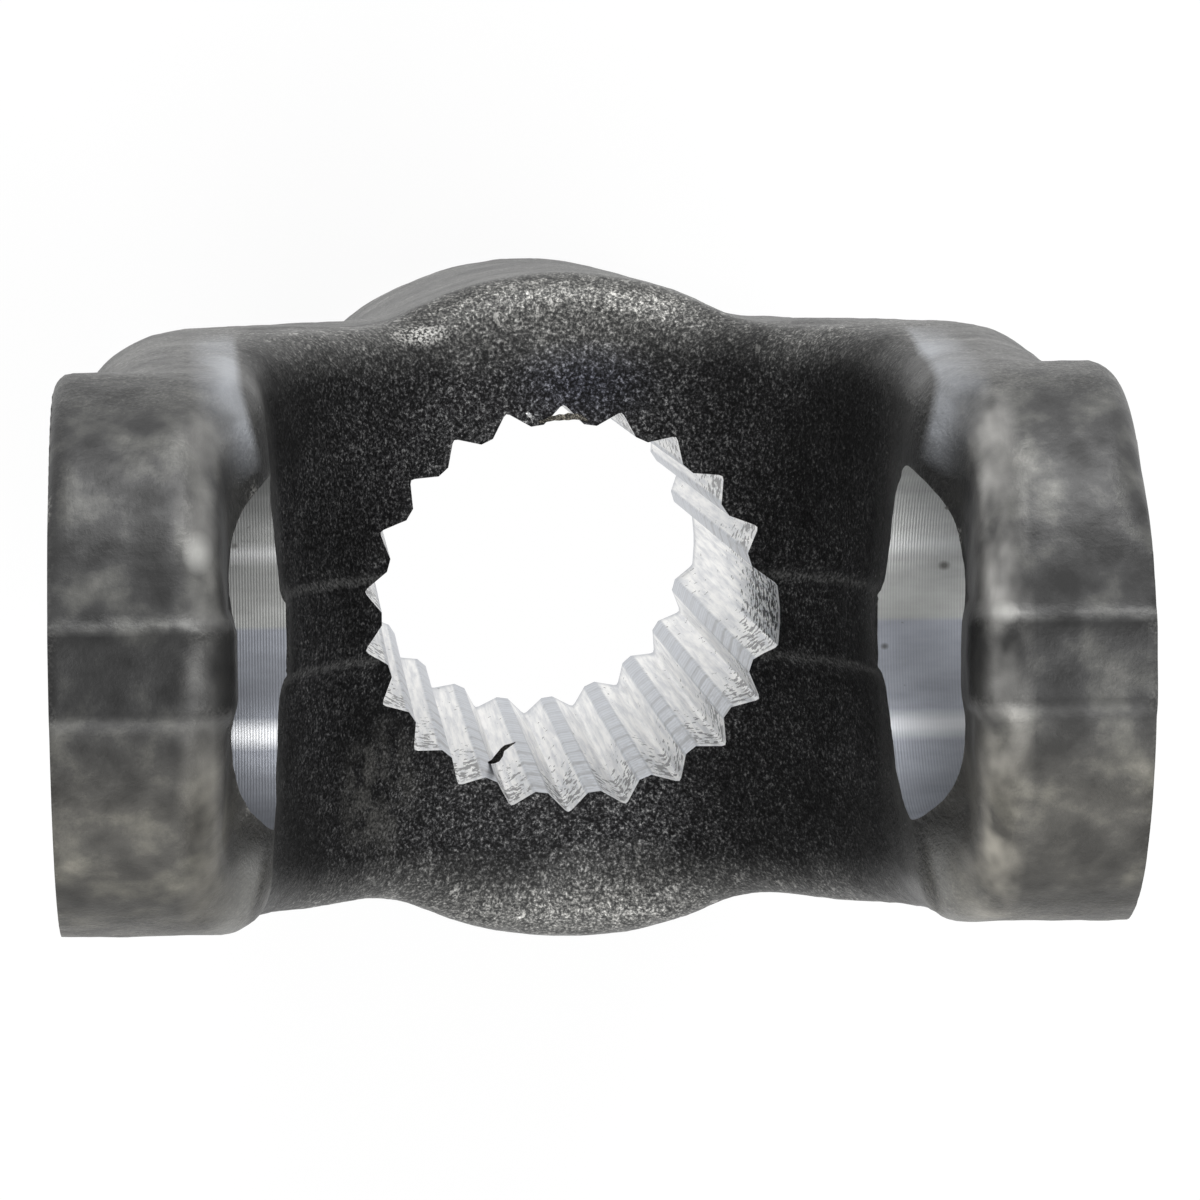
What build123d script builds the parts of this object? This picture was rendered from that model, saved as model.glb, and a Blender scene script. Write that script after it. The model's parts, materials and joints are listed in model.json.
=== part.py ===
"""Forged yoke of a universal joint: a long hub with a splined bore, a curved crotch
and two ears with one bore across them. It is a single steel forging that is machined
only in its bores and at the end of its hub.

The origin is at the centre of the hub's end, +Z runs up the hub to the ears and +X
goes from ear to ear, so the parting plane of the forging dies is Y = 0. All lengths
are millimetres and all angles degrees."""
import os
from math import acos, atan2, cos, degrees, hypot, radians, sin

from build123d import *

# Hub
hub_diameter = 49.2
hub_end_chamfer = 1.5
crotch_height = 89.2  # from the hub's end to the lowest line of the crotch

# Fork
cross_height = 127.0  # from the hub's end to the axis of the cross bore
ear_width = 71.4  # over the outer faces of the ears, which are machined flat
ear_thickness = 15.0  # at the parting plane, where the inner faces stand upright
ear_tip_thickness = 11.7  # at the ends of the ears, where the inner faces have leaned out
hub_step = 3.8  # the round hub stands out from the arms' sides by this much
ear_step = 5.7  # and from the round ends of the ears, seen along the cross bore
arm_rise = 8.0  # the arms narrow towards the ears from this far above the crotch
relief_start = 0.2  # the inner faces lean out from this far above the cross axis
relief_turn = 30.0  # by this angle, and then stand upright again
crotch_step = 4.2  # the radius of the crotch's bottom is this much less than half the gap
crotch_turn = 48.0  # half the angle of that arc, the walls follow wider arcs
gusset_foot = 22.0  # where the sloping undersides of the arms would meet the hub's axis
shoulder_height = 84.0  # where they would meet the outer faces
shoulder_radius = 30.0

# Forging
draft = 3.5  # the gap opens by this angle on both sides of the parting plane
hub_blend = 9.0  # radius between the round hub and the arms
outer_radius = 8.0  # rounding of the arms' outer edges, below the flat ears
crotch_edge_radius = 3.5  # rounding along the crotch and the ears' inner edges
flash_width = 5.6  # band left where the flash was trimmed, along the parting plane
flash_height = 0.35

# Cross bore, with a groove for a snap ring in each ear
cup_diameter = 23.84
cup_chamfer = 0.6
ring_diameter = 25.2
ring_width = 1.7
ring_inset = 2.6  # from the ear's outer face to the groove

# Spline: a serration with one tooth left out, so that it fits in one way only
spline_places = 22
spline_minor_diameter = 27.2
spline_apex_diameter = 30.14  # where the two flanks of a space would meet
spline_root_radius = 0.34
spline_land = 0.94  # flat on the tip of a tooth
spline_lead_in = 0.8  # chamfer outside the spaces at the hub's end

# Worked out from the sizes above
hub_radius = hub_diameter / 2
half_width = ear_width / 2
half_gap = half_width - ear_thickness
half_tip_gap = half_width - ear_tip_thickness
ear_radius = hub_radius - ear_step
ear_top = cross_height + ear_radius
arm_top = crotch_height + arm_rise
past = 5.0  # how far a cut runs past the piece
crotch_radius = half_gap - crotch_step
turn_x = crotch_radius * sin(radians(crotch_turn))
turn_z = crotch_height + crotch_radius * (1 - cos(radians(crotch_turn)))
wall_radius = (half_gap - turn_x) / (1 - sin(radians(crotch_turn)))
wall_z = turn_z + wall_radius * cos(radians(crotch_turn))
relief_radius = (half_tip_gap - half_gap) / 2 / (1 - cos(radians(relief_turn)))
relief_z = cross_height + relief_start
upright_z = relief_z + 2 * relief_radius * sin(radians(relief_turn))
reach = max(hub_radius, ear_radius) + past  # beyond the widest place along Y
corner_y = hub_radius - hub_step  # half the width of the arms
corner_drop = cross_height - arm_top
touch = acos(ear_radius / hypot(corner_y, corner_drop)) - atan2(corner_drop, corner_y)
touch_y = ear_radius * cos(touch)  # here the arm's straight side touches the ear's circle
touch_z = cross_height + ear_radius * sin(touch)

# For picking edges by their place
samples = [step / 8 for step in range(9)]  # shares of an edge's length
slack = 1.0
touching = 0.01


def fork_face(grow=0.0):
    """Right half of the arms and ears seen along Y, from the axis to the outer face."""
    with BuildSketch(Plane.XZ) as face:
        with BuildLine():
            FilletPolyline(
                (0, gusset_foot),
                (half_width + grow, shoulder_height),
                (half_width + grow, ear_top + past),
                radius=shoulder_radius + grow,
            )
            Polyline((half_width + grow, ear_top + past), (0, ear_top + past), (0, gusset_foot))
        make_face()
        mirror(about=Plane.YZ)
    return face.sketch


def gap_face(shrink=0.0):
    """The space between the ears seen along Y, down to the bottom of the crotch."""
    bottom = crotch_radius - shrink
    wall = wall_radius - shrink
    with BuildSketch(Plane.XZ) as face:
        with BuildLine():
            CenterArc((0, crotch_height + crotch_radius), bottom, -90, crotch_turn)
            CenterArc((half_gap - wall_radius, wall_z), wall, crotch_turn - 90, 90 - crotch_turn)
            Line((half_gap - shrink, wall_z), (half_gap - shrink, relief_z))
            CenterArc((half_gap + relief_radius - shrink, relief_z), relief_radius, 180, -relief_turn)
            CenterArc(
                (half_tip_gap - relief_radius - shrink, upright_z), relief_radius, -relief_turn, relief_turn
            )
            Line((half_tip_gap - shrink, upright_z), (half_tip_gap - shrink, ear_top + 2 * past))
            Polyline(
                (half_tip_gap - shrink, ear_top + 2 * past),
                (0, ear_top + 2 * past),
                (0, crotch_height + shrink),
            )
        make_face()
        mirror(about=Plane.YZ)
    return face.sketch


def from_side(edge):
    """Distance of an edge from the middle of the fork's side outline, at its nearest."""
    points = [edge @ share for share in samples]
    return min(hypot(p.Y, max(p.Z - cross_height, 0)) for p in points)


def rises_on_hub(edge):
    """Whether an edge lies on the round hub, above its end, and isn't level."""
    points = [edge @ share for share in samples]
    heights = [p.Z for p in points]
    round_it = all(abs(hypot(p.X, p.Y) - hub_radius) < touching for p in points)
    return round_it and min(heights) > hub_end_chamfer and max(heights) - min(heights) > slack


def spline_face():
    """Section of the splined bore: the minor circle, 20 single spaces and one wide one."""
    minor = spline_minor_diameter / 2
    pitch = 360 / spline_places
    half_space = pitch / 2 - degrees(spline_land / 2 / minor)
    flank_x = minor * cos(radians(half_space))
    flank_y = minor * sin(radians(half_space))
    with BuildSketch() as space:
        with BuildLine():
            Polyline(
                (0, 0), (flank_x, flank_y), (spline_apex_diameter / 2, 0), (flank_x, -flank_y), close=True
            )
        make_face()
        fillet(space.vertices().sort_by(Axis.X)[-1], spline_root_radius)
    root = space.sketch.bounding_box().max.X
    with BuildSketch() as section:
        Circle(minor)
        with PolarLocations(0, spline_places, start_angle=pitch / 2):
            add(space.sketch)
        # the place of the tooth that is left out lies on the ears' centre line
        with BuildLine():
            Line((0, 0), (root * cos(radians(pitch / 2)), -root * sin(radians(pitch / 2))))
            CenterArc((0, 0), root, -pitch / 2, pitch)
            Line((root * cos(radians(pitch / 2)), root * sin(radians(pitch / 2))), (0, 0))
        make_face()
    return section.sketch, root


# Arms and ears: the front outline crossed with the side outline
with BuildPart() as arms:
    extrude(fork_face(), amount=reach, both=True)
    with BuildSketch(Plane.YZ):
        with BuildLine():
            Polyline((0, 0), (corner_y, 0), (corner_y, arm_top), (touch_y, touch_z), (0, touch_z))
            mirror(about=Plane.YZ)
        make_face()
    extrude(amount=half_width + past, both=True, mode=Mode.INTERSECT)
    outer = arms.edges().filter_by(lambda e: from_side(e) > ear_radius - slack)
    outer = outer.filter_by(lambda e: abs((e @ 0).Z - (e @ 1).Z) > slack)
    fillet(outer.filter_by(lambda e: abs(e.center().X) > slack), outer_radius)

with BuildPart() as yoke:
    add(arms.part)

    # Hub, blended into the sides and the sloping undersides of both arms
    with BuildSketch(Plane.XY.rotated((0, 0, 90))):
        Circle(hub_radius)
    extrude(amount=cross_height - ear_radius)
    fillet(yoke.edges().filter_by(rises_on_hub), hub_blend)
    chamfer(yoke.faces().sort_by(Axis.Z)[0].edges(), hub_end_chamfer)

    # Ears: round ends with flat outer faces
    with BuildSketch(Plane.YZ):
        with Locations((0, cross_height)):
            Circle(ear_radius)
    extrude(amount=half_width, both=True)

    # Space between the ears, opened by the draft, with all its edges rounded
    extrude(gap_face(), amount=reach, both=True, taper=-draft, mode=Mode.SUBTRACT)
    inner = yoke.edges().filter_by(lambda e: from_side(e) > ear_radius - slack)
    inner = inner.filter_by(lambda e: abs(e.center().X) < half_tip_gap + 2 * slack)
    inner = inner.filter_by(lambda e: e.center().Z > crotch_height - crotch_edge_radius)
    fillet(inner, crotch_edge_radius)

    # Band along the parting plane where the flash was trimmed off
    with BuildSketch(Plane.XZ) as band:
        add(fork_face(flash_height))
        with Locations((0, (crotch_height + hub_end_chamfer) / 2)):
            Rectangle(hub_diameter + 2 * flash_height, crotch_height - hub_end_chamfer)
        with Locations((0, ear_top + flash_height + 3 * past)):
            Rectangle(2 * ear_width, 6 * past, mode=Mode.SUBTRACT)
        add(gap_face(flash_height), mode=Mode.SUBTRACT)
        with Locations((0, ear_top)):
            Rectangle(ear_width, 2 * ear_top, mode=Mode.INTERSECT)
        fillet(band.vertices().group_by(Axis.Y)[-1].sort_by(Axis.X)[1:3], crotch_edge_radius)
    extrude(amount=flash_width / 2, both=True)

    # Cross bore through both ears, with the grooves of its snap rings
    with BuildSketch(Plane.XZ.shift_origin((0, 0, cross_height))) as bore:
        cup = cup_diameter / 2
        groove_end = half_width - ring_inset
        with BuildLine():
            Polyline(
                (0, 0),
                (0, cup),
                (groove_end - ring_width, cup),
                (groove_end - ring_width, ring_diameter / 2),
                (groove_end, ring_diameter / 2),
                (groove_end, cup),
                (half_width - cup_chamfer, cup),
                (half_width + past, cup + cup_chamfer + past),
                (half_width + past, 0),
                close=True,
            )
        make_face()
        mirror(about=Plane.YZ)
    revolve(axis=Axis((0, 0, cross_height), (1, 0, 0)), mode=Mode.SUBTRACT)

    # Splined bore from the hub's end to the crotch
    section, root = spline_face()
    extrude(section, amount=cross_height, mode=Mode.SUBTRACT)
    with BuildSketch(Plane.XZ) as lead:
        with BuildLine():
            Polyline((0, 0), (root + spline_lead_in, 0), (0, root + spline_lead_in), close=True)
        make_face()
    revolve(axis=Axis.Z, mode=Mode.SUBTRACT)

yoke.part.label = "yoke"
os.makedirs("parts", exist_ok=True)
export_step(yoke.part, "parts/yoke.step")
print("volume", round(yoke.part.volume), "mm3, solids", len(yoke.solids()))
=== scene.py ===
# %% [markdown]
# A forged yoke of a universal joint. It is one piece of steel: two ears with a cross bore
# for bearing cups, a curved crotch between them, and a long hub with a serrated bore.
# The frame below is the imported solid. It stays as it is, and what we see is built round it
# in the order of the workshop: first the rough forging, then the tools that cut its bores.

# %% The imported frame
import json
from math import cos, pi, radians, sin

import bmesh
import bpy
from mathutils import Matrix, Vector

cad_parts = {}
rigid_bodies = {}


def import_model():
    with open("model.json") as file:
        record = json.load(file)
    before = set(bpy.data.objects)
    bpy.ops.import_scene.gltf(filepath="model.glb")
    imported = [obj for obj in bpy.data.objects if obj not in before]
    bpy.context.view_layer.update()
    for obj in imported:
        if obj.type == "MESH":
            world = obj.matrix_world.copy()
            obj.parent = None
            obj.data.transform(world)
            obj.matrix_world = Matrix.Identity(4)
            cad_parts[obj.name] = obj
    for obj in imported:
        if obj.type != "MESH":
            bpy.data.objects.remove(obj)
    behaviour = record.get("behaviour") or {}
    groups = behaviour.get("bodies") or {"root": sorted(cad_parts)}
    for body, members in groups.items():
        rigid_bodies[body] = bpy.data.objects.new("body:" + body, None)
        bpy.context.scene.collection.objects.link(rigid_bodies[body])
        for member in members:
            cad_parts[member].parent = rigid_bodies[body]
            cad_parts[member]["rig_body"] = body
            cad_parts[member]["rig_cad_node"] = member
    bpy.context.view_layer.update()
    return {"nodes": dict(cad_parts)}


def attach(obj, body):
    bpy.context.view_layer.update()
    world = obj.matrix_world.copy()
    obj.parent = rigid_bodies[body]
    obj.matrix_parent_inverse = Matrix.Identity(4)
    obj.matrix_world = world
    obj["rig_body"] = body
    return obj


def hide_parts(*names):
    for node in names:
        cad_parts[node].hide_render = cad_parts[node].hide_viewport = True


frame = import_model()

MM = 0.001

# %% [markdown]
# The photograph looks straight down between the ears, along the hub, from about half a
# metre away with a long lens. The serration's two rims gave the place and the turn of the
# camera: the near and the far rim are the same circle 89 mm apart.

# %% Camera
camera_place = Vector((-20.36, 31.34, 556.54)) * MM
camera_turn = Vector((radians(3.744), radians(2.796), radians(0.154)))
ears_turn = radians(0.58)  # the ears stand this far round from the serration's wide space
camera_data = bpy.data.cameras.new("camera")
camera_data.sensor_width = 36
camera_data.lens = 192.45
camera = bpy.data.objects.new("camera", camera_data)
bpy.context.scene.collection.objects.link(camera)
camera.matrix_world = (
    Matrix.Rotation(-ears_turn, 4, "Z")
    @ Matrix.Translation(camera_place)
    @ Matrix.Rotation(-camera_turn.length, 4, camera_turn.normalized())
)
bpy.context.scene.camera = camera
bpy.context.scene.view_settings.view_transform = "Standard"
print("camera looks along", -camera.matrix_world.to_3x3().col[2])

# %% [markdown]
# Three helpers serve every material. Colours are picked as hex values, which are sRGB,
# and a shader wants them linear, so the first one turns them. The second one adds a node
# of any kind, gives it its settings and fills its sockets, in order or by name, with plain
# values or other nodes' outputs. It hands back an output, so that nodes can be written
# inside each other. The last one starts a material with no nodes in it.

# %% Helpers for materials


def hex_colour(text):
    parts = [int(text[i:i + 2], 16) / 255 for i in (1, 3, 5)]
    return (*[p / 12.92 if p <= 0.04045 else ((p + 0.055) / 1.055) ** 2.4 for p in parts], 1)


def put(tree, kind, *values, sockets=None, stops=(), out=0, **settings):
    """Adds a node with its settings, links and, for a colour ramp, (place, hex colour) stops."""
    node = tree.nodes.new("ShaderNode" + kind)
    for name, value in settings.items():
        setattr(node, name, value)
    for socket, value in (dict(enumerate(values)) | (sockets or {})).items():
        if isinstance(value, bpy.types.NodeSocket):
            tree.links.new(value, node.inputs[socket])
        else:
            node.inputs[socket].default_value = value
    if stops:
        while len(node.color_ramp.elements) < len(stops):
            node.color_ramp.elements.new(0.5)
        for element, (place, colour) in zip(node.color_ramp.elements, stops):
            element.position = place
            element.color = hex_colour(colour)
    return node.outputs[out] if node.outputs else node


def new_material(name):
    material = bpy.data.materials.new(name)
    material.use_nodes = True
    material.node_tree.nodes.clear()
    return material


print("steel grey #43464b is linear", [round(c, 3) for c in hex_colour("#43464b")[:3]])

# %% [markdown]
# The yoke stands on the end of its hub on a pale floor. The photograph's ground is pure
# white, so what the camera and the reflections see of floor and surroundings is white,
# while the light that falls on the steel stays at a plain level. The floor keeps a little
# of its own shading, so that the yoke's shadow still shows. Only under the hub's bore it
# is all white, because there the photograph shows nothing but white through the bore.

# %% What counts as the white ground
WHITE = (1, 1, 1, 1)


def seen_as_ground(tree):
    """One for a ray from the camera, out of a reflection or through glass."""
    rays = put(tree, "LightPath").node.outputs
    share = rays["Is Camera Ray"]
    for ray in ("Is Glossy Ray", "Is Transmission Ray"):
        share = put(tree, "Math", share, rays[ray], operation="MAXIMUM")
    return share


print("the ground is", WHITE[:3], "where it is seen, and lights the steel less than that")

# %% Floor
FLOOR_WIDTH = 3.0
bpy.ops.object.select_all(action="DESELECT")
bpy.ops.mesh.primitive_plane_add(size=FLOOR_WIDTH)
floor = bpy.context.object
floor.name = "floor"
floor_paint = new_material("pale_matt_board")
tree = floor_paint.node_tree
here = put(tree, "TexCoord", out="Object")
distance = put(tree, "VectorMath", here, operation="LENGTH", out="Value")
far_away = put(tree, "MapRange", distance, 0.15, 0.7, 0.88, 1.0)
under_bore = put(tree, "MapRange", distance, 0.018, 0.016)
whiter = put(tree, "Math", far_away, under_bore, operation="MAXIMUM")
share = put(tree, "Math", seen_as_ground(tree), whiter, operation="MULTIPLY")
matt = put(tree, "BsdfDiffuse", sockets={"Color": hex_colour("#f4f4f4")})
glow = put(tree, "Emission", sockets={"Color": WHITE, "Strength": 1.0})
put(tree, "OutputMaterial", put(tree, "MixShader", share, matt, glow))
floor.data.materials.append(floor_paint)
print("floor", FLOOR_WIDTH, "m wide")

# %% Surroundings
world = bpy.data.worlds.new("surroundings")
world.use_nodes = True
world.node_tree.nodes.clear()
bpy.context.scene.world = world
tree = world.node_tree
soft = put(tree, "Background", sockets={"Color": WHITE, "Strength": 0.45})
plain = put(tree, "Background", sockets={"Color": WHITE, "Strength": 1.0})
put(tree, "OutputWorld", put(tree, "MixShader", seen_as_ground(tree), soft, plain))
print("world nodes:", len(tree.nodes))

# %% Lamps
AIM = Vector((0, 0, 0.1))  # every lamp points here, in the crotch
for name, place, size, power in (
    ("front_lamp", (0.25, -0.15, 0.75), 0.35, 2.6),
    ("left_lamp", (-0.6, 0.2, 0.45), 0.45, 1.0),
    ("top_lamp", (0.1, 0.6, 0.35), 0.45, 3.6),
    ("bottom_lamp", (0.0, -0.6, 0.35), 0.45, 2.1),
):
    lamp_data = bpy.data.lights.new(name, "AREA")
    lamp_data.shape = "DISK"
    lamp_data.size = size
    lamp_data.energy = power
    lamp = bpy.data.objects.new(name, lamp_data)
    bpy.context.scene.collection.objects.link(lamp)
    facing = (AIM - Vector(place)).to_track_quat("-Z", "Y").to_matrix().to_4x4()
    lamp.matrix_world = Matrix.Translation(Vector(place)) @ facing

# %% [markdown]
# The patterns are laid out in object coordinates, in millimetres, so that every grain and
# tool mark has its real size. A mask is a number from nothing to one. A Map Range node
# makes one that starts in one place and is full in another, and masks are then overlapped
# or joined like stencils. Colours are laid over each other through them, as paint is.

# %% Helpers for places and masks


def millimetres(tree):
    """The place on the object in millimetres, whole and as x, y and z."""
    here = put(tree, "TexCoord", out="Object")
    where = put(tree, "VectorMath", here, sockets={"Scale": 1 / MM}, operation="SCALE")
    return where, *put(tree, "SeparateXYZ", where).node.outputs


def overlap(tree, mask, *others):
    """Where all of these masks lie over each other."""
    for other in others:
        mask = put(tree, "Math", mask, other, operation="MULTIPLY")
    return mask


def joined(tree, mask, *others):
    """Where at least one of these masks lies."""
    for other in others:
        mask = put(tree, "Math", mask, other, operation="MAXIMUM")
    return mask


def spot(tree, where, centre, sizes, soft=0.5):
    """One inside an ellipsoid of these half sizes, fading to nothing at its edge."""
    gap = put(tree, "VectorMath", where, centre, operation="SUBTRACT")
    gap = put(tree, "VectorMath", gap, tuple(1 / size for size in sizes), operation="MULTIPLY")
    far = put(tree, "VectorMath", gap, operation="LENGTH", out="Value")
    return put(tree, "MapRange", far, 1.0, soft)


def stripe(tree, value, middle, edge, core, high=1.0):
    """High where the value is within core of the middle, fading to nothing at edge."""
    gap = put(tree, "Math", value, middle, operation="SUBTRACT")
    gap = put(tree, "Math", gap, operation="ABSOLUTE")
    return put(tree, "MapRange", gap, edge, core, 0.0, high)


print("patterns are in millimetres, one of them is", MM, "m")

# %% Helpers for patterns and colours


def uneven(tree, where, size, detail, roughness, stretch=(1, 1, 1)):
    """Light and dark spots about size mm wide, drawn out by stretch along x, y and z."""
    where = put(tree, "VectorMath", where, tuple(1 / s for s in stretch), operation="MULTIPLY")
    sockets = {"Scale": 1 / size, "Detail": detail, "Roughness": roughness}
    return put(tree, "TexNoise", where, sockets=sockets)


def mixture(tree, *parts):
    """The sum of several patterns, each given with its share."""
    total = 0.0
    for pattern, share in parts:
        total = put(tree, "Math", pattern, share, total, operation="MULTIPLY_ADD")
    return total


def scaled(tree, colour, *strengths):
    """A colour made lighter or darker by each of these strengths in turn."""
    for strength in strengths:
        colour = put(tree, "VectorMath", colour, sockets={"Scale": strength}, operation="SCALE")
    return colour


def layered(tree, colour, *layers):
    """A colour with others laid over it in turn, each as (mask, colour)."""
    for mask, over in layers:
        # a Mix node takes its two colours at sockets 6 and 7 and gives its colour at 2
        colour = put(tree, "Mix", mask, sockets={6: colour, 7: over}, out=2, data_type="RGBA")
    return colour


def steel_surface(tree, colour, metallic, roughness, height=None, depth=0.1, strength=1.0, level=0.5):
    sockets = {"Base Color": colour, "Metallic": metallic}
    sockets |= {"Roughness": roughness, "Specular IOR Level": level}
    if height is not None:
        bump = {"Strength": strength, "Distance": depth * MM, "Height": height}
        sockets["Normal"] = put(tree, "Bump", sockets=bump)
    put(tree, "OutputMaterial", put(tree, "BsdfPrincipled", sockets=sockets))


print("pattern helpers:", [f.__name__ for f in (uneven, mixture, scaled, layered, steel_surface)])

# %% [markdown]
# The skin came from the forging die and was shot blasted: a dark oxide with a fine pebbled
# grain, bright specks and dark pits. Down in the crotch the scale is nearly black, and painted
# shade darkens it further towards the ears. Where the forging was handled, along the crotch's
# two brims and on the ends of the ears, it is rubbed lighter and greyer, and the ears are
# cloudy. Each of these is a mask with its own row of greys, from the darkest pit to the
# brightest speck.

# %% Skin: grain and clouds
skin = new_material("shot_blasted_forged_steel")
tree = skin.node_tree
where, x, y, z = millimetres(tree)
across = put(tree, "Math", x, operation="ABSOLUTE")
aside = put(tree, "Math", y, operation="ABSOLUTE")
pointed = put(tree, "NewGeometry", out="Pointiness")
grain = uneven(tree, where, 0.22, 3.0, 0.7)
pebbles = uneven(tree, where, 0.5, 2.0, 0.5)
clouds = uneven(tree, where, 2.8, 3.0, 0.6)
soft_clouds = uneven(tree, where, 3.0, 2.5, 0.5)
patches = uneven(tree, where, 9.0, 3.0, 0.55)
mixed = mixture(tree, (pebbles, 0.25), (grain, 0.75))
grainy = mixture(tree, (patches, 0.2), (clouds, 0.15), (mixed, 0.65))
cloudy = mixture(tree, (grain, 0.10), (patches, 0.25), (soft_clouds, 0.65))
print("grain, pebbles and three sizes of clouds:", len(tree.nodes), "nodes")

# %% Skin: the crotch, its brims and the ends of the ears
narrowing = put(tree, "MapRange", z, 97.0, 147.0, 0.0, 3.15)  # of the arms, to both sides
out = put(tree, "Math", aside, narrowing, operation="ADD")
between_brims = put(tree, "Math", patches, 5.0, out, operation="MULTIPLY_ADD")
between_brims = put(tree, "MapRange", between_brims, 25.0, 19.8)
beyond_brims = put(tree, "Math", 1.0, between_brims, operation="SUBTRACT")
between_ears = put(tree, "MapRange", across, 24.4, 22.6)
below_cross = put(tree, "MapRange", z, 124.0, 110.0)
above_hub = put(tree, "MapRange", z, 81.0, 85.0)
crotch = overlap(tree, between_brims, between_ears, below_cross, above_hub)
out_of_crotch = put(tree, "Math", 1.0, crotch, operation="SUBTRACT")
over_hub = put(tree, "MapRange", across, 27.0, 24.0)
from_crotch_up = put(tree, "MapRange", z, 84.0, 88.0)
below_ends = put(tree, "MapRange", z, 128.0, 112.0)
brim = overlap(tree, over_hub, from_crotch_up, below_ends, beyond_brims)
ends = put(tree, "MapRange", z, 129.0, 137.0)
print("masks so far:", len(tree.nodes), "nodes")

# %% Skin: its greys
black_scale_and_shade_stops = (
    (0.38, "#020203"), (0.46, "#121213"), (0.51, "#29292a"), (0.57, "#4a4a4b"), (0.66, "#919190")
)
brim_stops = (
    (0.38, "#0b0b0b"), (0.45, "#292928"), (0.51, "#4c4c4a"), (0.59, "#7a7976"), (0.68, "#c4c3bf")
)
end_stops = ((0.38, "#2c2c2c"), (0.50, "#3d3d3d"), (0.60, "#545452"), (0.70, "#6f6e6b"))
side_stops = ((0.40, "#222222"), (0.48, "#393938"), (0.55, "#565654"), (0.65, "#84837f"))
# painted shade: the crotch gets darker towards the ears, which shade it
shade_towards_ears = put(tree, "MapRange", across, 4.0, 16.0, 0.7, 0.38)
patchy = put(tree, "MapRange", patches, 0.38, 0.62, 0.7, 1.6)
# the crotch's black is partly dark scale and partly painted shade between the ears
black_scale_and_shade = put(tree, "ValToRGB", mixed, stops=black_scale_and_shade_stops)
black_scale_and_shade = scaled(tree, black_scale_and_shade, overlap(tree, shade_towards_ears, patchy))
rubbed_brim = put(tree, "ValToRGB", mixed, stops=brim_stops)
# painted light: the right ear's end is lighter than the left
painted_light_right = put(tree, "MapRange", x, -5.0, 5.0, 0.93, 1.10)
end_grey = scaled(tree, put(tree, "ValToRGB", cloudy, stops=end_stops), painted_light_right)
side_grey = put(tree, "ValToRGB", grainy, stops=side_stops)
colour = layered(tree, side_grey, (ends, end_grey), (brim, rubbed_brim), (crotch, black_scale_and_shade))
print("greys in", len((black_scale_and_shade_stops, brim_stops, end_stops, side_stops)), "rows")

# %% Skin: scuffs, a worn patch and nicks on the crotch and its brims
scuffs = uneven(tree, where, 0.7, 3.0, 0.75, stretch=(1.0, 1.5, 1.5))
scuffed = overlap(tree, brim, put(tree, "MapRange", scuffs, 0.60, 0.68, 0.0, 0.55))
worn = spot(tree, where, (-15.0, -12.5, 93.0), (4.5, 6.5, 8.0), 0.3)
worn = overlap(tree, worn, put(tree, "MapRange", clouds, 0.42, 0.58, 0.0, 0.8))
worn_specks = put(tree, "MapRange", grain, 0.4, 0.6)
worn_grey = layered(tree, hex_colour("#343433"), (worn_specks, hex_colour("#666562")))
upper_nick = spot(tree, where, (0.8, 22.5, 91.5), (1.3, 0.8, 3.0))
left_nick = spot(tree, where, (-9.8, 20.4, 92.0), (3.2, 1.2, 3.0), 0.2)
nicks = overlap(tree, joined(tree, upper_nick, left_nick), put(tree, "MapRange", grain, 0.45, 0.58))
colour = layered(
    tree, colour, (scuffed, hex_colour("#b9b8b4")), (worn, worn_grey), (nicks, hex_colour("#d4d3cf"))
)
print("crotch worn:", len(tree.nodes), "nodes")

# %% [markdown]
# The inner edge of each ear's end is rubbed paler in a broken strip, more so on the right
# ear. The band where the flash was trimmed runs through the middle of everything. On the
# ears' ends it is darker than the rest, with a painted highlight along its upper edge, and in
# the crotch only its two edges show.

# %% Skin: rubbed strips and the trimmed band
STRIP_PLACE = 25.6  # from the middle to the inner edges of the ears' ends
BAND_EDGE = 2.9
broken = uneven(tree, where, 2.6, 2.0, 0.5, stretch=(1.0, 1.6, 1.6))
broken = put(tree, "MapRange", broken, 0.36, 0.70, 0.05, 0.75)
stronger_right = put(tree, "MapRange", x, -5.0, 5.0, 0.5, 1.35)
strip = overlap(tree, stripe(tree, across, STRIP_PLACE, 2.3, 0.3), ends, broken, stronger_right)
left_spot = spot(tree, where, (-26.0, 7.7, 144.0), (1.1, 1.5, 5.0), 0.2)
right_spot = spot(tree, where, (26.0, 3.2, 144.0), (1.0, 0.9, 5.0), 0.2)
worn_spots = overlap(tree, joined(tree, left_spot, right_spot), 0.5)
colour = layered(tree, colour, (strip, hex_colour("#9c9b98")), (worn_spots, hex_colour("#c6c6c2")))

flash = put(tree, "Math", patches, 0.8, aside, operation="MULTIPLY_ADD")
flash = overlap(tree, put(tree, "MapRange", flash, 3.5, BAND_EDGE), out_of_crotch)
colour = scaled(tree, colour, put(tree, "MapRange", flash, 0.0, 1.0, 1.0, 0.58))
here_and_there = put(tree, "MapRange", clouds, 0.45, 0.66, 0.0, 0.12)
# painted highlight along the band's upper edge on the ears' ends
upper_edge_highlight = overlap(tree, stripe(tree, y, 3.05, 0.55, 0.15), ends, here_and_there)
speckled = put(tree, "MapRange", mixed, 0.42, 0.6, 0.05, 0.6)
both_lines = overlap(tree, stripe(tree, aside, BAND_EDGE, 0.45, 0.1), crotch, speckled)
colour = layered(tree, colour, (upper_edge_highlight, hex_colour("#a3a3a0")), (both_lines, hex_colour("#5e5e5d")))
print("strips and band drawn:", len(tree.nodes), "nodes")
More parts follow.
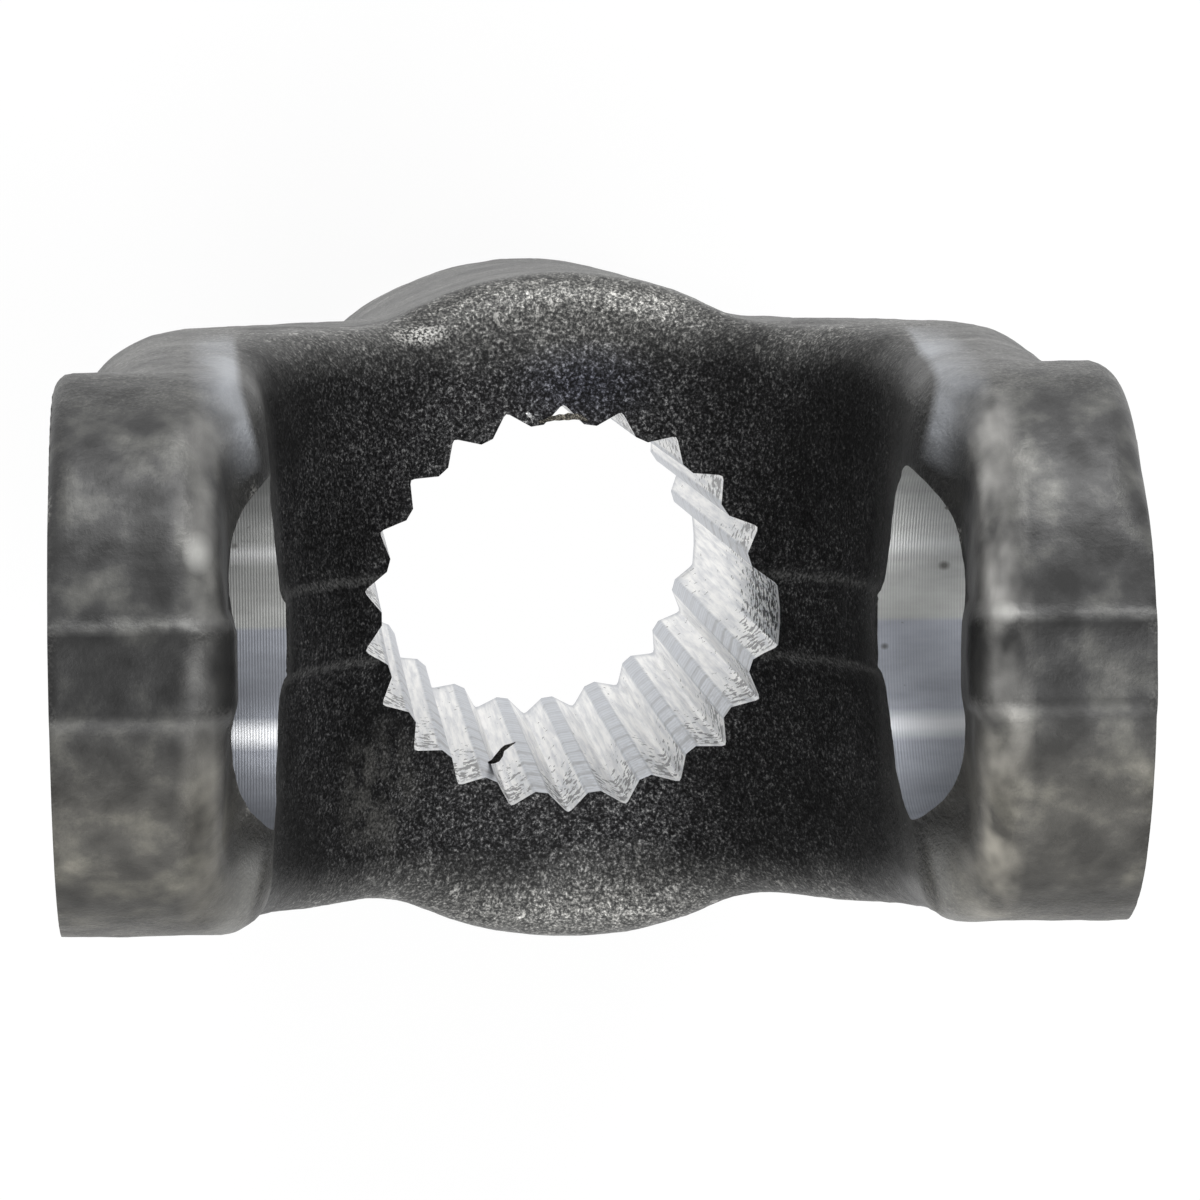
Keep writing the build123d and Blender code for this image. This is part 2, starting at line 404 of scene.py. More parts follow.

# %% [markdown]
# The outer sides of the arms and of the hub get a little painted light, and a blue tinge lies
# on the crotch beside the topmost space of the serration. Painted shade darkens the faces of
# the ears that look at each other, more so on the right one, and a corner of each and the
# necks below them. The rounded edges beside them carry a painted highlight in long streaks,
# stronger on the upper side, which lean outwards towards both sides.

# %% Skin: sides, inner faces and pale edges
sides = overlap(tree, put(tree, "MapRange", out, 18.6, 20.6), put(tree, "MapRange", z, 132.0, 118.0))
# painted light: the outer sides of the arms and the hub a little lighter
painted_light_sides = overlap(tree, sides, out_of_crotch)
colour = scaled(tree, colour, put(tree, "MapRange", painted_light_sides, 0.0, 1.0, 1.0, 1.3))
bluer = put(tree, "VectorMath", colour, (0.93, 0.96, 1.16), operation="MULTIPLY")
colour = layered(tree, colour, (spot(tree, where, (1.5, 16.5, 89.0), (6.0, 3.5, 4.0), 0.2), bluer))

# painted shade on the faces of the ears that look at each other, more on the right
inner_face_shade = overlap(tree, put(tree, "MapRange", across, 25.0, 23.4), put(tree, "MapRange", z, 108.0, 116.0))
shaded = put(tree, "MapRange", x, -5.0, 5.0, 0.15, 0.5)
inner_face_shade = overlap(tree, inner_face_shade, put(tree, "MapRange", out, 17.5, 15.0), shaded)
colour = scaled(tree, colour, put(tree, "Math", 1.0, inner_face_shade, operation="SUBTRACT"))
# painted shade in a corner of each ear's inner face, near its end
corner_shade = overlap(
    tree,
    put(tree, "MapRange", across, 25.2, 24.3),
    put(tree, "MapRange", z, 124.0, 130.0),
    put(tree, "MapRange", aside, 15.0, 12.5),
)
colour = scaled(tree, colour, put(tree, "MapRange", corner_shade, 0.0, 1.0, 1.0, 0.35))

past_edge = put(tree, "Math", aside, -0.24, across, operation="MULTIPLY_ADD")
# painted shade in the necks where the arms' inner edges run down into the crotch
neck_shade = overlap(
    tree,
    put(tree, "MapRange", past_edge, 19.2, 18.6),
    put(tree, "MapRange", z, 99.0, 107.0),
    put(tree, "MapRange", aside, 10.0, 13.0),
)
colour = scaled(tree, colour, put(tree, "MapRange", neck_shade, 0.0, 1.0, 1.0, 0.45))
# painted highlight: pale streaks on the rounded inner edges, stronger on the upper side
highlight_streaks = uneven(tree, where, 2.6, 1.0, 0.4, stretch=(1, 1, 3))
outwards = put(tree, "Math", out, put(tree, "MapRange", z, 122.0, 134.0, 0.0, 3.0), operation="ADD")
painted_edge_highlight = overlap(
    tree,
    put(tree, "MapRange", past_edge, 18.7, 19.2),
    put(tree, "MapRange", past_edge, 22.3, 19.7),
    put(tree, "MapRange", outwards, 16.6, 19.0),
    put(tree, "MapRange", out, 23.0, 21.6),
    put(tree, "MapRange", z, 98.0, 108.0),
    put(tree, "MapRange", z, 138.0, 133.0),
    put(tree, "MapRange", highlight_streaks, 0.35, 0.65, 0.45, 0.85),
    put(tree, "MapRange", y, -5.0, 5.0, 0.5, 1.0),
)
colour = layered(tree, colour, (painted_edge_highlight, hex_colour("#9a9da2")))
print("sides and edges drawn:", len(tree.nodes), "nodes")

# %% [markdown]
# Oil has left the lower half of the ears a little warmer, and the highest points of the
# skin are rubbed bright. The blasted grain also stands up as a bump of a tenth of a
# millimetre, flatter on the ears' ends. Oxide shines less than bare steel, so the skin is
# only half metallic, and dullest in the crotch.

# %% Skin: oil, rubbed peaks and its surface
oily = overlap(tree, put(tree, "MapRange", y, -2.0, -9.0), put(tree, "MapRange", z, 118.0, 130.0))
warmer = put(tree, "VectorMath", colour, (1.04, 1.0, 0.90), operation="MULTIPLY")
peaks = put(tree, "MapRange", pointed, 0.52, 0.60)
peaks = overlap(tree, peaks, put(tree, "MapRange", grain, 0.45, 0.62, 0.0, 0.4), out_of_crotch)
colour = layered(tree, colour, (oily, warmer), (peaks, hex_colour("#a09f9b")))
height = mixture(tree, (mixed, 1.0), (pebbles, 0.8))
flatter = mixture(tree, (sides, 0.25), (ends, 0.48))
relief = put(tree, "Math", 0.7, flatter, operation="SUBTRACT")
roughness = put(tree, "MapRange", crotch, 0.0, 1.0, 0.45, 0.62)
dull = joined(tree, crotch, overlap(tree, ends, 0.7))
level = put(tree, "MapRange", dull, 0.0, 1.0, 0.5, 0.2)
steel_surface(tree, colour, 0.5, roughness, height, 0.12, relief, level)
print("skin nodes:", len(tree.nodes))

# %% [markdown]
# The cross bore was bored with a single point, which left fine rings a fifth of a
# millimetre apart, crossing the light. The steel is bright but thinly stained, with a painted
# reflection, warmer above and bluer below, two painted highlight bands along it, painted shade
# on the left bore and a few dark specks of dirt.

# %% Bored steel
RING_SPACING = 0.20
full_turn = 2 * pi
bored = new_material("fine_bored_steel")
tree = bored.node_tree
where, x, y, z = millimetres(tree)
wobble = overlap(tree, uneven(tree, where, 2.0, 2.0, 0.5), 1.2)
rings = put(tree, "Math", x, full_turn / RING_SPACING, wobble, operation="MULTIPLY_ADD")
rings = put(tree, "Math", rings, operation="SINE")
stain = uneven(tree, where, 1.6, 3.0, 0.6, stretch=(3.0, 1.0, 1.0))
# painted reflection: the bore's steel warmer above and bluer below
warm_reflection_above = put(tree, "MapRange", y, 0.6, 0.9)
colour = scaled(
    tree,
    layered(tree, hex_colour("#878a91"), (warm_reflection_above, hex_colour("#959694"))),
    put(tree, "MapRange", stain, 0.3, 0.7, 0.86, 1.12),
    put(tree, "MapRange", rings, -1.0, 1.0, 0.91, 1.04),
    # painted shade: the left bore darker than the right
    put(tree, "MapRange", x, -10.0, 10.0, 0.64, 1.18),
)
# painted highlights: two bright bands along the bore
reflection_bands = joined(tree, stripe(tree, y, -6.4, 1.1, 0.2, 0.5), stripe(tree, y, 6.0, 0.9, 0.1, 0.22))
specks = put(tree, "MapRange", uneven(tree, where, 0.9, 1.0, 0.5), 0.77, 0.80)
for place, size in (((25.0, 4.5, 115.9), 0.5), ((20.9, -1.1, 115.2), 0.35), ((-23.9, 6.6, 116.0), 0.35)):
    specks = joined(tree, specks, spot(tree, where, place, (size, 0.8 * size, 3.0), 0.3))
specks = overlap(tree, specks, 0.7)
colour = layered(tree, colour, (reflection_bands, hex_colour("#e4e5e6")), (specks, hex_colour("#3b3833")))
steel_surface(tree, colour, 0.9, 0.5, rings, 0.010, 0.35)
print("bored nodes:", len(tree.nodes))

# %% [markdown]
# The serration was broached, one tooth ring after another pulled straight through. The
# flanks are bright and streaked lengthwise. The flat tips of the teeth are bluish, with
# dark bars across them where the broach chattered, fainter towards the hub's end.

# %% Broached steel: flanks and tips
CHATTER_SPACING = 9.3
RIPPLE_SPACING = 2.2
broached = new_material("broached_steel")
tree = broached.node_tree
where, x, y, z = millimetres(tree)
radius = put(tree, "VectorMath", put(tree, "CombineXYZ", x, y), operation="LENGTH", out="Value")
streaks = uneven(tree, where, 0.45, 3.0, 0.6, stretch=(1, 1, 30))
bright = put(tree, "MapRange", streaks, 0.35, 0.62)
tips = put(tree, "MapRange", radius, 13.80, 13.68)
wobble = uneven(tree, where, 1.5, 2.0, 0.5)
shakes = []
for spacing, unsteady in ((CHATTER_SPACING, 3.5), (RIPPLE_SPACING, 9.0)):
    shift = overlap(tree, wobble, unsteady)
    shake = put(tree, "Math", z, full_turn / spacing, shift, operation="MULTIPLY_ADD")
    shakes.append(put(tree, "Math", shake, operation="SINE"))
chatter, ripple = shakes
bars = put(tree, "MapRange", chatter, 0.55, 0.95, 0.0, 0.9)
bars = overlap(tree, bars, put(tree, "MapRange", z, 35.0, 60.0, 0.3, 1.0))
tip_blue = scaled(tree, hex_colour("#aab0ba")[:3], put(tree, "MapRange", ripple, -1.0, 1.0, 0.8, 1.12))
tip_blue = layered(tree, tip_blue, (bars, hex_colour("#5f646e")))
colour = layered(
    tree, hex_colour("#cdcfd3"), (bright, hex_colour("#fffefb")), (overlap(tree, tips, 0.9), tip_blue)
)
print("flanks streaked and tips barred:", len(tree.nodes), "nodes")

# %% [markdown]
# Near the crotch the broach tore the steel and left dark pits drawn out along the cut,
# most of all in the wide space. They come in gusts, spare the burnished rim of the bore,
# and get rarer with the depth below the crotch. The crotch's bottom is an arc that widens
# to both sides with the gap's draft, so that depth has to be worked out from it.

# %% Broached steel: torn pits and its surface
CROTCH_RADIUS = 16.5
CROTCH_CENTRE = 105.7  # the height of that arc's centre
DRAFT_SLOPE = 0.061
arc = put(tree, "Math", y, operation="ABSOLUTE")
arc = put(tree, "Math", arc, DRAFT_SLOPE, CROTCH_RADIUS, operation="MULTIPLY_ADD")
square = put(tree, "Math", overlap(tree, arc, arc), overlap(tree, x, x), operation="SUBTRACT")
fall = put(tree, "Math", square, operation="SQRT")
bottom = put(tree, "Math", CROTCH_CENTRE, fall, operation="SUBTRACT")
below = put(tree, "Math", bottom, z, operation="SUBTRACT")
wide_space = put(tree, "MapRange", x, 13.7, 14.4)
reach = put(tree, "Math", wide_space, -16.0, below, operation="MULTIPLY_ADD")
depth_in = put(tree, "MapRange", reach, 38.0, 6.0, -0.14, 0.055)
torn = uneven(tree, where, 0.55, 2.0, 0.6, stretch=(1, 1, 3))
gusts = uneven(tree, where, 1.2, 2.0, 0.5, stretch=(1, 1, 8))
likely = mixture(tree, (gusts, 0.2), (torn, 1.0), (depth_in, 1.0), (-0.1, 1.0))
spared_rim = put(tree, "MapRange", below, 1.4, 2.6)
pits = overlap(
    tree,
    put(tree, "MapRange", likely, 0.552, 0.568),
    put(tree, "MapRange", tips, 0.0, 1.0, 1.0, 0.25),
    spared_rim,
)
entry = put(tree, "MapRange", z, 5.0, 1.2, 0.0, 0.8)  # grey towards the hub's end
smudge = spot(tree, where, (14.4, -3.4, 4.0), (1.2, 1.2, 6.0), 0.2)
smudge = overlap(tree, smudge, put(tree, "MapRange", wobble, 0.3, 0.55))
colour = layered(tree, colour, (pits, hex_colour("#08080a")), (entry, hex_colour("#8b919b")))
colour = layered(tree, colour, (smudge, hex_colour("#37383b")))
steel_surface(tree, colour, 1.0, 0.3, streaks, 0.005, 0.3)
print("broached nodes:", len(tree.nodes))

# %% [markdown]
# The hub's end and the ears' outer faces were faced with a cutter that left rings round
# its own axis, a third of a millimetre apart. The torn slivers at the serration are dark,
# oily steel, and the curl beside them is freshly torn and bright.

# %% Faced steel and torn steel
CROSS_HEIGHT = 127.0
CUT_SPACING = 0.32


def faced_steel(name, axis_point, across_axis):
    """Rings round the axis through a point, across_axis being one along the other two ways."""
    material = new_material(name)
    tree = material.node_tree
    where, x, y, z = millimetres(tree)
    gap = put(tree, "VectorMath", where, axis_point, operation="SUBTRACT")
    gap = put(tree, "VectorMath", gap, across_axis, operation="MULTIPLY")
    radius = put(tree, "VectorMath", gap, operation="LENGTH", out="Value")
    rings = put(tree, "Math", overlap(tree, radius, full_turn / CUT_SPACING), operation="SINE")
    wider = uneven(tree, put(tree, "CombineXYZ", radius), 0.9, 2.0, 0.6)
    stain = put(tree, "MapRange", uneven(tree, where, 4.0, 3.0, 0.6), 0.35, 0.65)
    colour = scaled(
        tree,
        layered(tree, hex_colour("#8f9092"), (stain, hex_colour("#b4b4b3"))),
        put(tree, "MapRange", rings, -1.0, 1.0, 0.86, 1.08),
        put(tree, "MapRange", wider, 0.35, 0.65, 0.85, 1.1),
    )
    steel_surface(tree, colour, 0.95, 0.36, rings, 0.008, 0.6)
    return material


turned = faced_steel("turned_steel", (0, 0, 0), (1, 1, 0))
milled = faced_steel("face_milled_steel", (0, 0, CROSS_HEIGHT), (0, 1, 1))

torn_steel = new_material("torn_burr_steel")
tree = torn_steel.node_tree
where, x, y, z = millimetres(tree)
torn_stops = ((0.35, "#141413"), (0.5, "#3a3833"), (0.62, "#8a857b"))
colour = put(tree, "ValToRGB", uneven(tree, where, 0.12, 3.0, 0.7), stops=torn_stops)
steel_surface(tree, colour, 0.5, 0.6, level=0.3)

curled_steel = new_material("bright_burr_steel")
tree = curled_steel.node_tree
where, x, y, z = millimetres(tree)
curled_stops = ((0.35, "#a9aaac"), (0.6, "#f4f4f2"))
colour = put(tree, "ValToRGB", uneven(tree, where, 0.2, 2.0, 0.5), stops=curled_stops)
steel_surface(tree, colour, 0.7, 0.35)
print("finishes:", [m.name for m in bpy.data.materials if m.use_nodes])

# %% [markdown]
# The blank is the forging before any tool touched it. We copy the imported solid, merge its
# loose triangles, delete the walls of both bores and close the holes. Picking the faces by
# their place keeps this independent of how the solid was meshed.

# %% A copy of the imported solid
MERGE_DISTANCE = 0.002
bpy.ops.object.select_all(action="DESELECT")
blank = frame["nodes"]["yoke"].copy()
blank.data = blank.data.copy()
blank.name = "yoke_forging"
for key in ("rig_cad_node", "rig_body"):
    if key in blank:
        del blank[key]
blank.parent = None
bpy.context.scene.collection.objects.link(blank)
bpy.context.view_layer.objects.active = blank
blank.select_set(True)
blank.data.materials.clear()
blank.data.materials.append(skin)
if blank.data.has_custom_normals:
    bpy.ops.mesh.customdata_custom_splitnormals_clear()
bpy.ops.object.mode_set(mode="EDIT")
bpy.ops.mesh.select_all(action="SELECT")
bpy.ops.mesh.remove_doubles(threshold=MERGE_DISTANCE * MM)
bpy.ops.mesh.select_all(action="DESELECT")
bpy.ops.object.mode_set(mode="OBJECT")
print("corners after the merge:", len(blank.data.vertices))

# %% Bores closed
CUP_RADIUS = 11.92
CUP_MARGIN = 0.8  # takes in the grooves and chamfers of the cross bore
SERRATION_REACH = 15.4  # just outside the roots of the serration
LEAD_IN = 2.0  # the height below which the lead-in of the serration lies
corner_of = [v.co / MM for v in blank.data.vertices]
for face in blank.data.polygons:
    corners = [corner_of[i] for i in face.vertices]
    widest = max(Vector(c.xy).length for c in corners)
    highest = max(c.z for c in corners)
    level = abs(face.normal.z)  # one on a level face, nothing on an upright one
    in_hub = widest < SERRATION_REACH and level < 0.5
    in_lead = widest < SERRATION_REACH + 1 and highest < LEAD_IN and level < 0.9
    from_cross = max(Vector((c.y, c.z - CROSS_HEIGHT)).length for c in corners)
    in_ears = from_cross < CUP_RADIUS + CUP_MARGIN
    face.select = in_hub or in_lead or in_ears
walls = sum(face.select for face in blank.data.polygons)
bpy.ops.object.mode_set(mode="EDIT")
bpy.ops.mesh.select_mode(type="FACE")
bpy.ops.mesh.delete(type="FACE")
bpy.ops.mesh.select_mode(type="EDGE")
bpy.ops.mesh.select_all(action="SELECT")
bpy.ops.mesh.fill_holes(sides=0)
bpy.ops.mesh.select_all(action="DESELECT")
bpy.ops.object.mode_set(mode="OBJECT")
print("walls deleted:", walls)

# %% [markdown]
# A real blank is a little too large wherever a cutter will face it. So the hub's end is
# widened to a sharp corner and moved down, and the ears' outer faces are moved outwards.

# %% Stock on the hub's end and on the ears
HUB_RADIUS = 24.6
HUB_CHAMFER = 1.5
FACING_STOCK = 1.5
EAR_FACE = 35.7
EAR_STOCK = 0.6
ON_A_FACE = 0.01  # how near to a plane a corner lies on it
for vertex in blank.data.vertices:
    vertex.select = vertex.co.z < ON_A_FACE * MM
bpy.ops.object.mode_set(mode="EDIT")
bpy.ops.mesh.select_mode(type="VERT")
grow = HUB_RADIUS / (HUB_RADIUS - HUB_CHAMFER)
bpy.ops.transform.resize(value=(grow, grow, 1), center_override=(0, 0, 0))
bpy.ops.transform.translate(value=(0, 0, -FACING_STOCK * MM))
for way in (-1, 1):
    bpy.ops.mesh.select_all(action="DESELECT")
    bpy.ops.object.mode_set(mode="OBJECT")
    for vertex in blank.data.vertices:
        vertex.select = vertex.co.x * way > (EAR_FACE - ON_A_FACE) * MM
    bpy.ops.object.mode_set(mode="EDIT")
    bpy.ops.transform.translate(value=(way * EAR_STOCK * MM, 0, 0))
bpy.ops.mesh.select_all(action="SELECT")
bpy.ops.mesh.quads_convert_to_tris()
bpy.ops.object.mode_set(mode="OBJECT")
check = bmesh.new()
check.from_mesh(blank.data)
open_edges = sum(not edge.is_manifold for edge in check.edges)
print("open edges left:", open_edges, "volume mm3:", round(check.calc_volume() / MM ** 3))
check.free()

# %% [markdown]
# A voxel remesh turns the blank into even small faces, fine enough to carry the waves and
# dents of a real forging. Two Displace modifiers then move the skin in and out by a tenth
# or two of a millimetre.

# %% Even mesh and forged surface
FACE_SIZE = 0.62
remesh = blank.modifiers.new("even_faces", "REMESH")
remesh.mode = "VOXEL"
remesh.voxel_size = FACE_SIZE * MM
remesh.use_smooth_shade = True
bpy.ops.object.modifier_apply(modifier=remesh.name)
for name, wave_length, depth in (("die_waves", 7.0, 0.30), ("blasted_skin", 1.9, 0.14)):
    texture = bpy.data.textures.new(name, "CLOUDS")
    texture.noise_scale = wave_length * MM
    texture.noise_depth = 2
    waves = blank.modifiers.new(name, "DISPLACE")
    waves.texture = texture
    waves.texture_coords = "LOCAL"
    waves.strength = depth * MM
    waves.mid_level = 0.55
    bpy.ops.object.modifier_apply(modifier=waves.name)
print("faces on the blank:", len(blank.data.polygons))

# %% [markdown]
# The dies left the ears' outer edges rounder on the +Y side, most of all on the right ear.
# Every point of the skin that stands outside such a rounding is drawn back onto it. An
# edge's rounding is a quarter circle between the ear's flat face and its round outline,
# so it is worked out from the distances to those two.

# %% Rounder upper edges of the ears
EAR_RADIUS = 18.9
FLASH_HEIGHT = 0.35
EAR_TOP = CROSS_HEIGHT + EAR_RADIUS + FLASH_HEIGHT
RIGHT_ROUNDING = 2.4
LEFT_ROUNDING = 1.4
ROUNDER_FROM = 4.0  # the change grows along Y between these two
ROUNDER_TO = 12.0
EARS_ABOVE = 105.0
drawn_back = 0
for vertex in blank.data.vertices:
    px, py, pz = vertex.co / MM
    side = 1 if px > 0 else -1
    rounding = RIGHT_ROUNDING if px > 0 else LEFT_ROUNDING
    share = min(max((py - ROUNDER_FROM) / (ROUNDER_TO - ROUNDER_FROM), 0), 1)
    spoke = Vector((py, max(pz - CROSS_HEIGHT, 0)))
    gap = Vector((abs(px) - EAR_FACE + rounding, spoke.length - EAR_RADIUS + rounding))
    if share and pz > EARS_ABOVE and min(gap) > 0 and gap.length > rounding:
        pull = share * (1 - rounding / gap.length)
        inwards = spoke.normalized() * gap.y * pull
        vertex.co -= Vector((gap.x * pull * side, inwards.x, inwards.y)) * MM
        drawn_back += 1
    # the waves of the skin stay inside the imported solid's box
    vertex.co.y = min(max(vertex.co.y, -HUB_RADIUS * MM), HUB_RADIUS * MM)
    vertex.co.z = min(vertex.co.z, EAR_TOP * MM)
print("points drawn back onto the rounder edges:", drawn_back)

# %% [markdown]
# Each bore is cut by a solid the shape of what its tool sweeps. A round tool is a
# profile spun about its axis. The cut faces take over the tool's material, which is why
# the bored, turned and milled finishes end exactly where their cuts do.

# %% A tool spun from its profile, and a cut
AXIS_MERGE = 0.001  # joins the points that lie on the tool's axis


def spun_tool(name, profile, axis, centre, material, steps=128):
    """Closed solid from (along the axis, radius) points, which start and end on the axis."""
    mesh = bpy.data.meshes.new(name)
    side = Vector((0, 0, 1)) if axis.x else Vector((1, 0, 0))
    points = [centre + axis * along * MM + side * radius * MM for along, radius in profile]
    mesh.from_pydata(points, [(i, i + 1) for i in range(len(points) - 1)], [])
    tool = bpy.data.objects.new(name, mesh)
    bpy.context.scene.collection.objects.link(tool)
    bpy.ops.object.select_all(action="DESELECT")
    bpy.context.view_layer.objects.active = tool
    tool.select_set(True)
    bpy.ops.object.mode_set(mode="EDIT")
    bpy.ops.mesh.select_all(action="SELECT")
    bpy.ops.mesh.spin(steps=steps, angle=full_turn, center=centre, axis=axis)
    bpy.ops.mesh.select_all(action="SELECT")
    bpy.ops.mesh.remove_doubles(threshold=AXIS_MERGE * MM)
    bpy.ops.mesh.normals_make_consistent(inside=False)
    bpy.ops.object.mode_set(mode="OBJECT")
    mesh.materials.append(material)
    return tool


def cut(tool):
    """Takes the tool's solid away from the blank, and then the tool itself."""
    bpy.ops.object.select_all(action="DESELECT")
    bpy.context.view_layer.objects.active = blank
    blank.select_set(True)
    saw = blank.modifiers.new(tool.name, "BOOLEAN")
    saw.object = tool
    saw.operation = "DIFFERENCE"
    saw.solver = "EXACT"
    saw.material_mode = "TRANSFER"
    bpy.ops.object.modifier_apply(modifier=saw.name)
    bpy.data.objects.remove(tool)


print("blank before the cuts:", blank.name, len(blank.data.polygons), "faces")

# %% Hub's end, chamfer and lead-in turned, ears milled flat
ROOT_RADIUS = 14.93
LEAD_CHAMFER = 0.8
TOOL_REACH = 40.0
TOOL_BACK = 5.0
chamfer_start = HUB_RADIUS - HUB_CHAMFER
lead = ROOT_RADIUS + LEAD_CHAMFER
turning_profile = [
    (-TOOL_BACK, 0),
    (-TOOL_BACK, TOOL_REACH),
    (TOOL_REACH - chamfer_start, TOOL_REACH),
    (0, chamfer_start),
    (0, lead),
    (lead, 0),
]
cut(spun_tool("facing_tool", turning_profile, Vector((0, 0, 1)), Vector((0, 0, 0)), turned))
cross_centre = Vector((0, 0, CROSS_HEIGHT)) * MM
MILL_RADIUS = 45.0
mill_back = EAR_FACE + 20
face_mill = [(EAR_FACE, 0), (EAR_FACE, MILL_RADIUS), (mill_back, MILL_RADIUS), (mill_back, 0)]
for way in (-1, 1):
    cut(spun_tool("face_mill", face_mill, Vector((way, 0, 0)), cross_centre, milled))
print("hub end and ears faced, faces:", len(blank.data.polygons))

# %% [markdown]
# One profile holds the whole cross bore: both chamfered mouths, the two grooves that are
# cut for the snap rings, and the straight wall that the bearing cups are pressed into.

# %% Cross bore
CUP_CHAMFER = 0.6
RING_INSET = 2.6
RING_WIDTH = 1.7
RING_RADIUS = 12.6
BAR_REACH = 50.0
mouth = EAR_FACE - CUP_CHAMFER
flare = CUP_RADIUS + BAR_REACH - mouth
groove_end = EAR_FACE - RING_INSET
groove_start = groove_end - RING_WIDTH
bore_profile = [(-BAR_REACH, 0), (-BAR_REACH, flare), (-mouth, CUP_RADIUS)]
for start, end in ((-groove_end, -groove_start), (groove_start, groove_end)):
    bore_profile += [(start, CUP_RADIUS), (start, RING_RADIUS), (end, RING_RADIUS), (end, CUP_RADIUS)]
bore_profile += [(mouth, CUP_RADIUS), (BAR_REACH, flare), (BAR_REACH, 0)]
cut(spun_tool("boring_tool", bore_profile, Vector((1, 0, 0)), cross_centre, bored, steps=160))
print("cross bore cut, faces:", len(blank.data.polygons))

# %% [markdown]
# The broach's section has 22 places. Each space has two straight flanks and a root that
# three points make slightly round. One tooth is left out on the ears' centre line, and
# there the roots on both sides run on into one wide space.

# %% Serrated bore
PLACES = 22
MINOR_RADIUS = 13.6
LAND = 0.94
ROOT_CORNER = (0.016, 14.80)  # turn from the middle of a space, and radius
BROACH_LENGTH = 115.0
BROACH_START = -5.0
pitch = full_turn / PLACES
half_space = pitch / 2 - LAND / 2 / MINOR_RADIUS
corner_turn, corner_radius = ROOT_CORNER
space = (
    (-half_space, MINOR_RADIUS),
    (-corner_turn, corner_radius),
    (0, ROOT_RADIUS),
    (corner_turn, corner_radius),
    (half_space, MINOR_RADIUS),
)
section = []
for place in range(PLACES):
    for turn, radius in space:
        left_out = (place == PLACES - 1 and turn > 0) or (place == 0 and turn < 0)
        section.append(((place + 0.5) * pitch + turn, ROOT_RADIUS if left_out else radius))
mesh = bpy.data.meshes.new("broach")
corners = [Vector((r * cos(angle), r * sin(angle), BROACH_START)) * MM for angle, r in section]
mesh.from_pydata(corners, [], [list(range(len(corners)))])
mesh.materials.append(broached)
broach = bpy.data.objects.new("broach", mesh)
bpy.context.scene.collection.objects.link(broach)
bpy.ops.object.select_all(action="DESELECT")
bpy.context.view_layer.objects.active = broach
broach.select_set(True)
bpy.ops.object.mode_set(mode="EDIT")
bpy.ops.mesh.select_all(action="SELECT")
bpy.ops.mesh.extrude_region_move(TRANSFORM_OT_translate={"value": (0, 0, BROACH_LENGTH * MM)})
bpy.ops.mesh.select_all(action="SELECT")
bpy.ops.mesh.normals_make_consistent(inside=False)
bpy.ops.object.mode_set(mode="OBJECT")
cut(broach)
print("serration cut, faces:", len(blank.data.polygons))

# %% [markdown]
# The broach left a few torn slivers at the serration: a ragged one lies across the
# topmost space, a small bright curl stands beside it, and a dark chip still hangs on a
# tooth lower down. Each is a ribbon along a line of points, made thick by Solidify.

# %% A ribbon


def ribbon(name, line, sideways, thickness, material):
    """Thin strip along (x, y, z, width) points in mm, its width laid along sideways."""
    mesh = bpy.data.meshes.new(name)
    edge_points = []
    for px, py, pz, width in line:
        edge_points += [(Vector((px, py, pz)) + sideways * width * half) * MM for half in (-0.5, 0.5)]
    quads = [(2 * i, 2 * i + 1, 2 * i + 3, 2 * i + 2) for i in range(len(line) - 1)]
    mesh.from_pydata(edge_points, [], quads)
    strip = bpy.data.objects.new(name, mesh)
    bpy.context.scene.collection.objects.link(strip)
    mesh.materials.append(material)
    bpy.ops.object.select_all(action="DESELECT")
    bpy.context.view_layer.objects.active = strip
    strip.select_set(True)
    plate = strip.modifiers.new("thickness", "SOLIDIFY")
    plate.thickness = thickness * MM
    plate.offset = 0
    bpy.ops.object.modifier_apply(modifier=plate.name)
    return strip


print("next, ribbons are added to", len(blank.data.vertices), "points of the yoke")

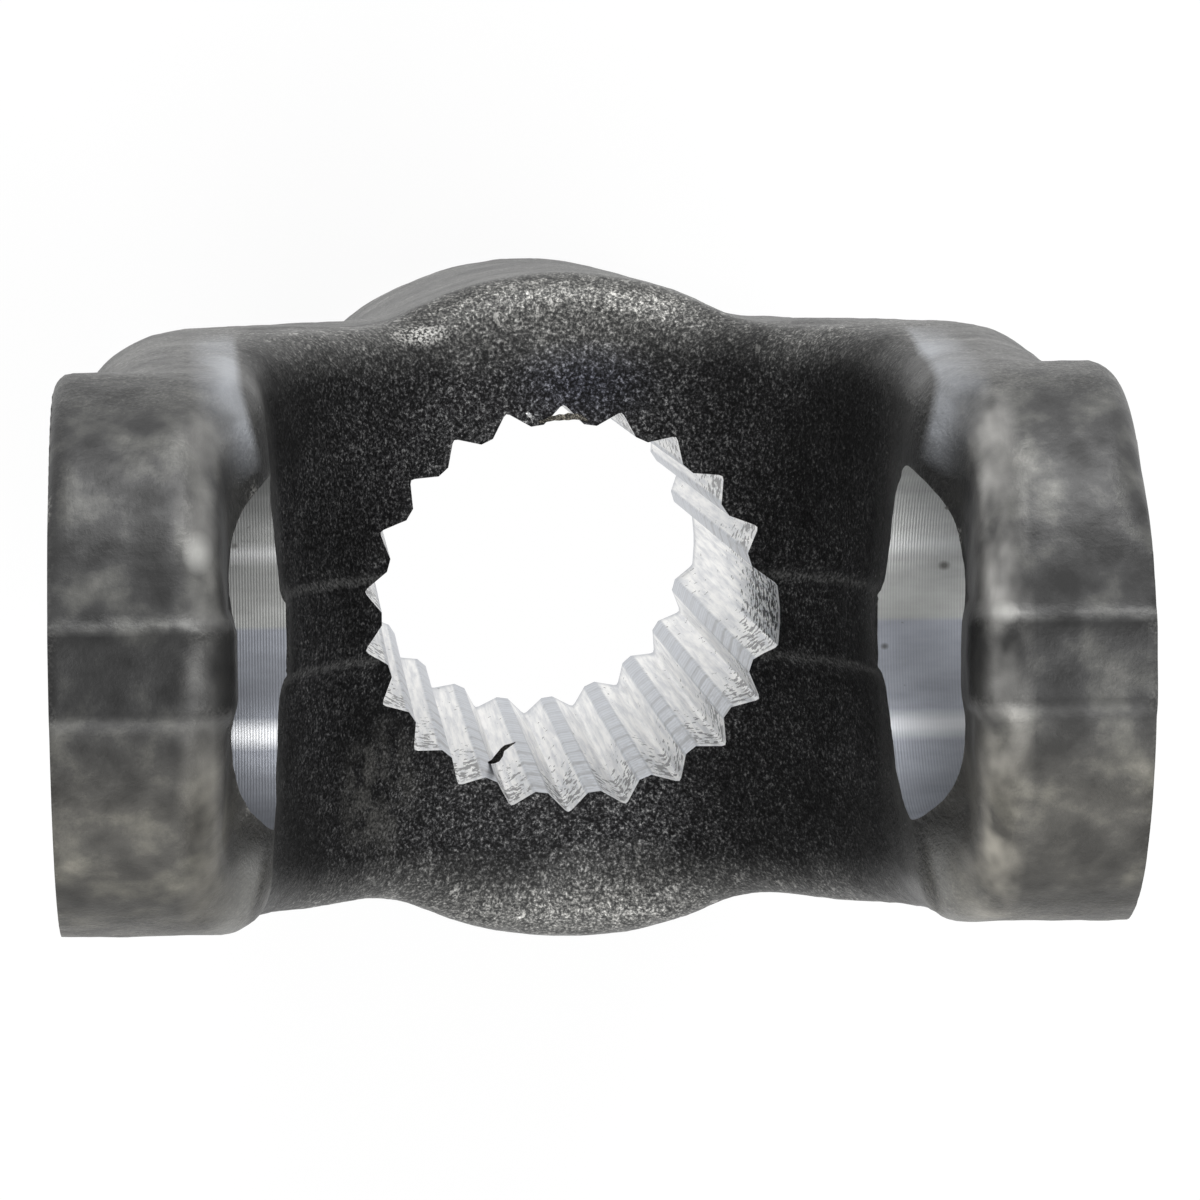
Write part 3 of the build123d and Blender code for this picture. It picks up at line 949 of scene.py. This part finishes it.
# %% Slivers and chip
sliver_line = [
    (-1.95, 13.72, 88.45, 0.10), (-1.60, 13.74, 88.60, 0.20), (-1.25, 13.86, 88.75, 0.26),
    (-0.95, 13.98, 88.85, 0.40), (-0.70, 14.01, 88.95, 0.34), (-0.35, 14.06, 89.00, 0.48),
    (0.00, 14.06, 89.05, 0.40), (0.30, 14.12, 89.05, 0.56), (0.65, 14.10, 89.00, 0.42),
    (1.00, 14.10, 88.95, 0.46), (1.35, 13.98, 88.80, 0.30), (1.70, 13.76, 88.55, 0.16),
]
curl_line = [
    (-2.28, 13.62, 88.40, 0.10), (-2.34, 13.85, 88.95, 0.12), (-2.42, 14.08, 89.35, 0.15),
    (-2.52, 14.28, 89.60, 0.26), (-2.66, 14.40, 89.70, 0.24), (-2.78, 14.42, 89.65, 0.10),
]
chip_line = [
    (-5.50, -12.60, 73.6, 0.12), (-5.05, -12.34, 75.0, 0.34), (-4.78, -12.02, 76.0, 0.55),
    (-4.55, -11.62, 76.8, 0.50), (-4.41, -11.22, 77.5, 0.32), (-4.20, -10.98, 78.3, 0.34),
    (-3.90, -10.74, 79.2, 0.18), (-3.55, -10.49, 80.0, 0.05),
]
sliver = ribbon("sliver", sliver_line, Vector((0, 1, 0)), 0.12, torn_steel)
curl = ribbon("curl", curl_line, Vector((0.85, 0.53, 0)), 0.06, curled_steel)
chip = ribbon("chip", chip_line, Vector((-0.61, 0.79, 0)), 0.08, torn_steel)
bpy.ops.object.select_all(action="DESELECT")
for part in (sliver, curl, chip, blank):
    part.select_set(True)
bpy.context.view_layer.objects.active = blank
bpy.ops.object.join()
print("faces with the slivers:", len(blank.data.polygons))

# %% [markdown]
# Edges sharper than 35 degrees stay crisp, as a cutter leaves them, and all softer ones
# are shaded smooth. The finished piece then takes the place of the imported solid.

# %% Finished piece
CRISP_ANGLE = 35
bpy.ops.object.select_all(action="DESELECT")
bpy.context.view_layer.objects.active = blank
blank.select_set(True)
bpy.ops.object.shade_smooth_by_angle(angle=radians(CRISP_ANGLE))
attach(blank, "root")
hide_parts("yoke")
print("materials", [m.name for m in blank.data.materials])
